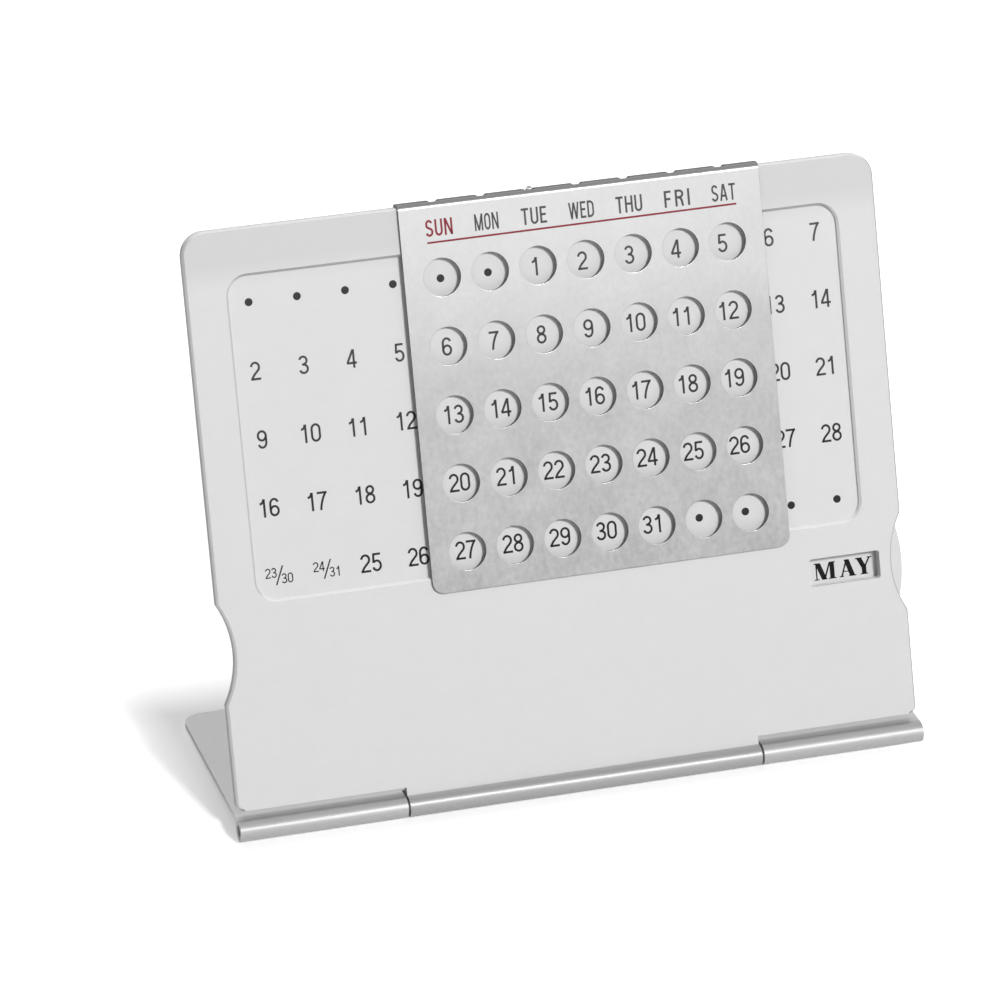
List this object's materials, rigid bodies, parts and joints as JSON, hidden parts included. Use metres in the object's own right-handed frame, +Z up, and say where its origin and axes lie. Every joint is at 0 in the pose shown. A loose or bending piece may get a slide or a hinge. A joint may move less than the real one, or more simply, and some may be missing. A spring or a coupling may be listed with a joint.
{
  "type": "perpetual desk calendar",
  "caption": "Leaning metal plate on a hinged foot, with a sliding date window, a click pin and a month wheel.",
  "frame": {"origin": "middle of the whole object's footprint, on the surface it stands on", "axes": "+X to the right across the plate, +Y to the back, +Z up"},
  "size_m": [0.1508, 0.0518, 0.1198],
  "materials": {
    "foot_metal": "satin anodised",
    "pin_steel": "ground",
    "plate_metal": "satin anodised",
    "window_metal": "satin anodised",
    "bright_steel": "polished",
    "spring_steel": "drawn wire",
    "wheel_metal": "satin",
    "stud_steel": "turned",
    "dark_ink": "printed",
    "red_ink": "printed",
    "spacer_plastic": "moulded"
  },
  "bodies": {
    "foot": {"foot_plate": "foot_metal", "hinge_pin": "pin_steel"},
    "plate": {"calendar_plate": "plate_metal", "click_spring": "spring_steel", "wheel_stud": "stud_steel", "wheel_spacer": "spacer_plastic", "wave_washer": "spring_steel", "retaining_cap": "stud_steel"},
    "window": {"sliding_window": "window_metal"},
    "click": {"click_pin": "bright_steel"},
    "wheel": {"month_wheel": "wheel_metal"}
  },
  "joints": [
    {"name": "plate_fold", "type": "hinge", "parent": "foot", "child": "plate", "pos_m": [0, -0.02366, 0.00226], "axis": [1, 0, 0], "range_deg": [0, 110]},
    {"name": "window_slide", "type": "slide", "parent": "plate", "child": "window", "axis": [1, 0, 0], "range_m": [-0.0416, 0.0208]},
    {"name": "click_press", "type": "slide", "parent": "plate", "child": "click", "axis": [0, -0.3665, -0.9304], "range_m": [0, 0.0015], "stiffness_N_per_m": 300, "springref_m": -0.001, "deforming": ["click_spring"]},
    {"name": "wheel_turn", "type": "hinge", "parent": "plate", "child": "wheel", "pos_m": [0.0449, -0.0079, 0.03609], "axis": [0, 0.9304, -0.3665], "continuous": true}
  ]
}
